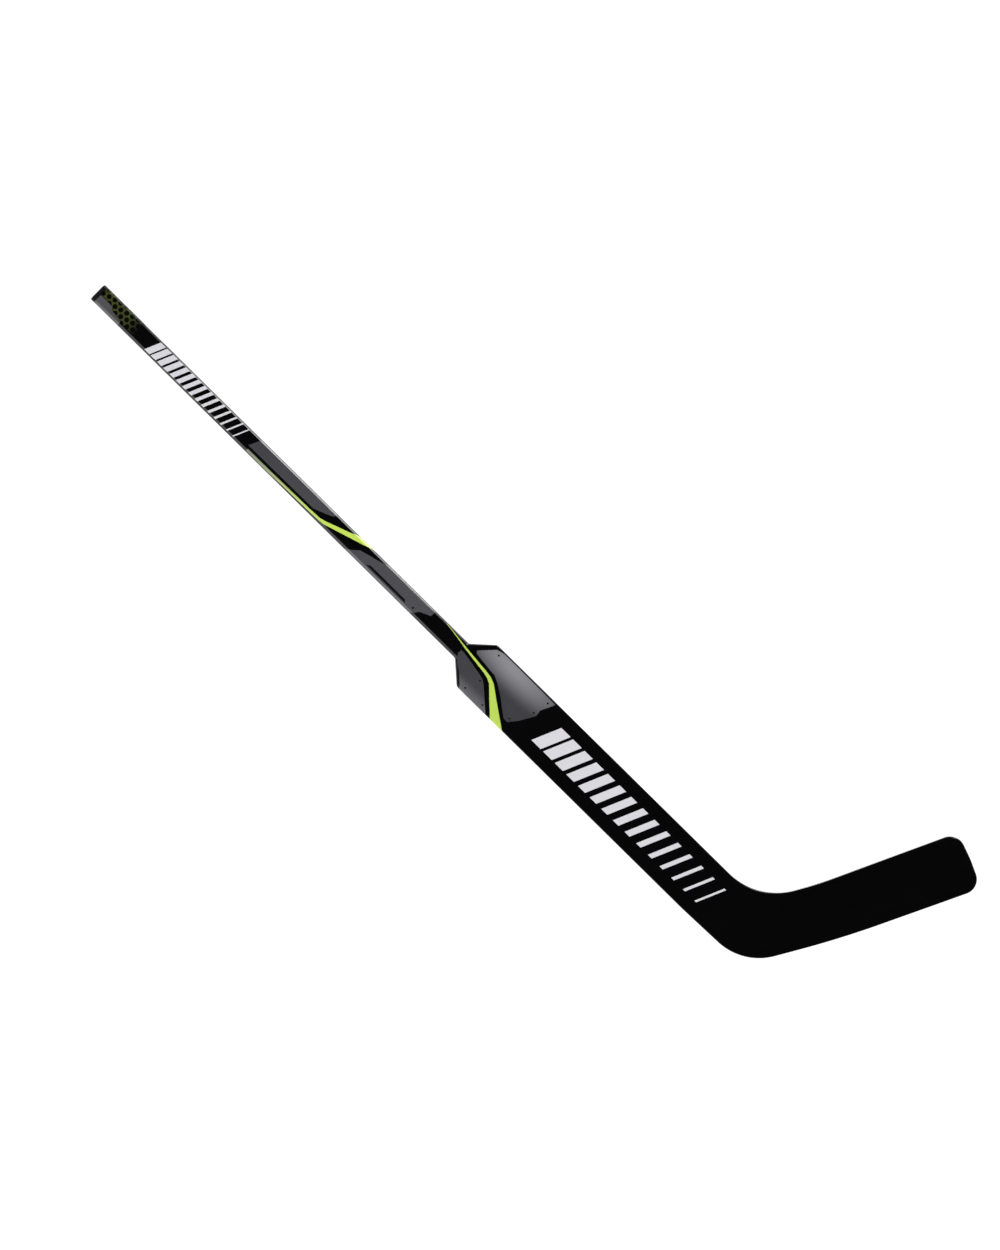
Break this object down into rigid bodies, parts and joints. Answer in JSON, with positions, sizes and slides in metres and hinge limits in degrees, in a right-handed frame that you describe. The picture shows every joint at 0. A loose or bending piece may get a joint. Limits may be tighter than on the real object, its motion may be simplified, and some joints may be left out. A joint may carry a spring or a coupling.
{
  "type": "goaltender's ice hockey stick",
  "caption": "Goaltender's ice hockey stick: a straight shaft that widens into a flat paddle and turns at the heel into a wide, forward-curving blade.",
  "frame": {"origin": "on the flat back of the paddle, on the shaft's centre line, halfway between the shoulders and the heel", "axes": "+X runs down the shaft from the butt to the heel, +Y points to the side that the blade turns to, and +Z out of the front face; the stick lies on its back"},
  "size_m": [1.5628, 0.3655, 0.0296],
  "materials": {
    "black_lacquer": "black lacquer over fibre, with printed stripes and panels",
    "cap_plastic": "moulded, fine texture",
    "handle_wood": "planed, glued laminations",
    "rail_wood": "planed hardwood",
    "strip_plastic": "extruded strip",
    "core_foam": "rigid closed-cell foam",
    "spar_fibre": "moulded fibre rib",
    "glass_cloth": "woven glass cloth in resin"
  },
  "bodies": {
    "root": {"butt_cap": "cap_plastic", "shaft_sleeve": "black_lacquer", "front_skin": "black_lacquer", "back_skin": "black_lacquer", "front_outer_ply": "handle_wood", "front_inner_ply": "handle_wood", "middle_ply": "handle_wood", "back_inner_ply": "handle_wood", "back_outer_ply": "handle_wood", "upper_paddle_rail": "rail_wood", "lower_paddle_rail": "rail_wood", "heel_block": "rail_wood", "upper_paddle_foam": "core_foam", "lower_paddle_foam": "core_foam", "upper_blade_foam": "core_foam", "lower_blade_foam": "core_foam", "front_heel_patch": "glass_cloth", "back_heel_patch": "glass_cloth", "blade_spar": "spar_fibre", "blade_top_strip": "strip_plastic", "blade_bottom_strip": "strip_plastic", "blade_toe_strip": "strip_plastic"}
  },
  "joints": []
}
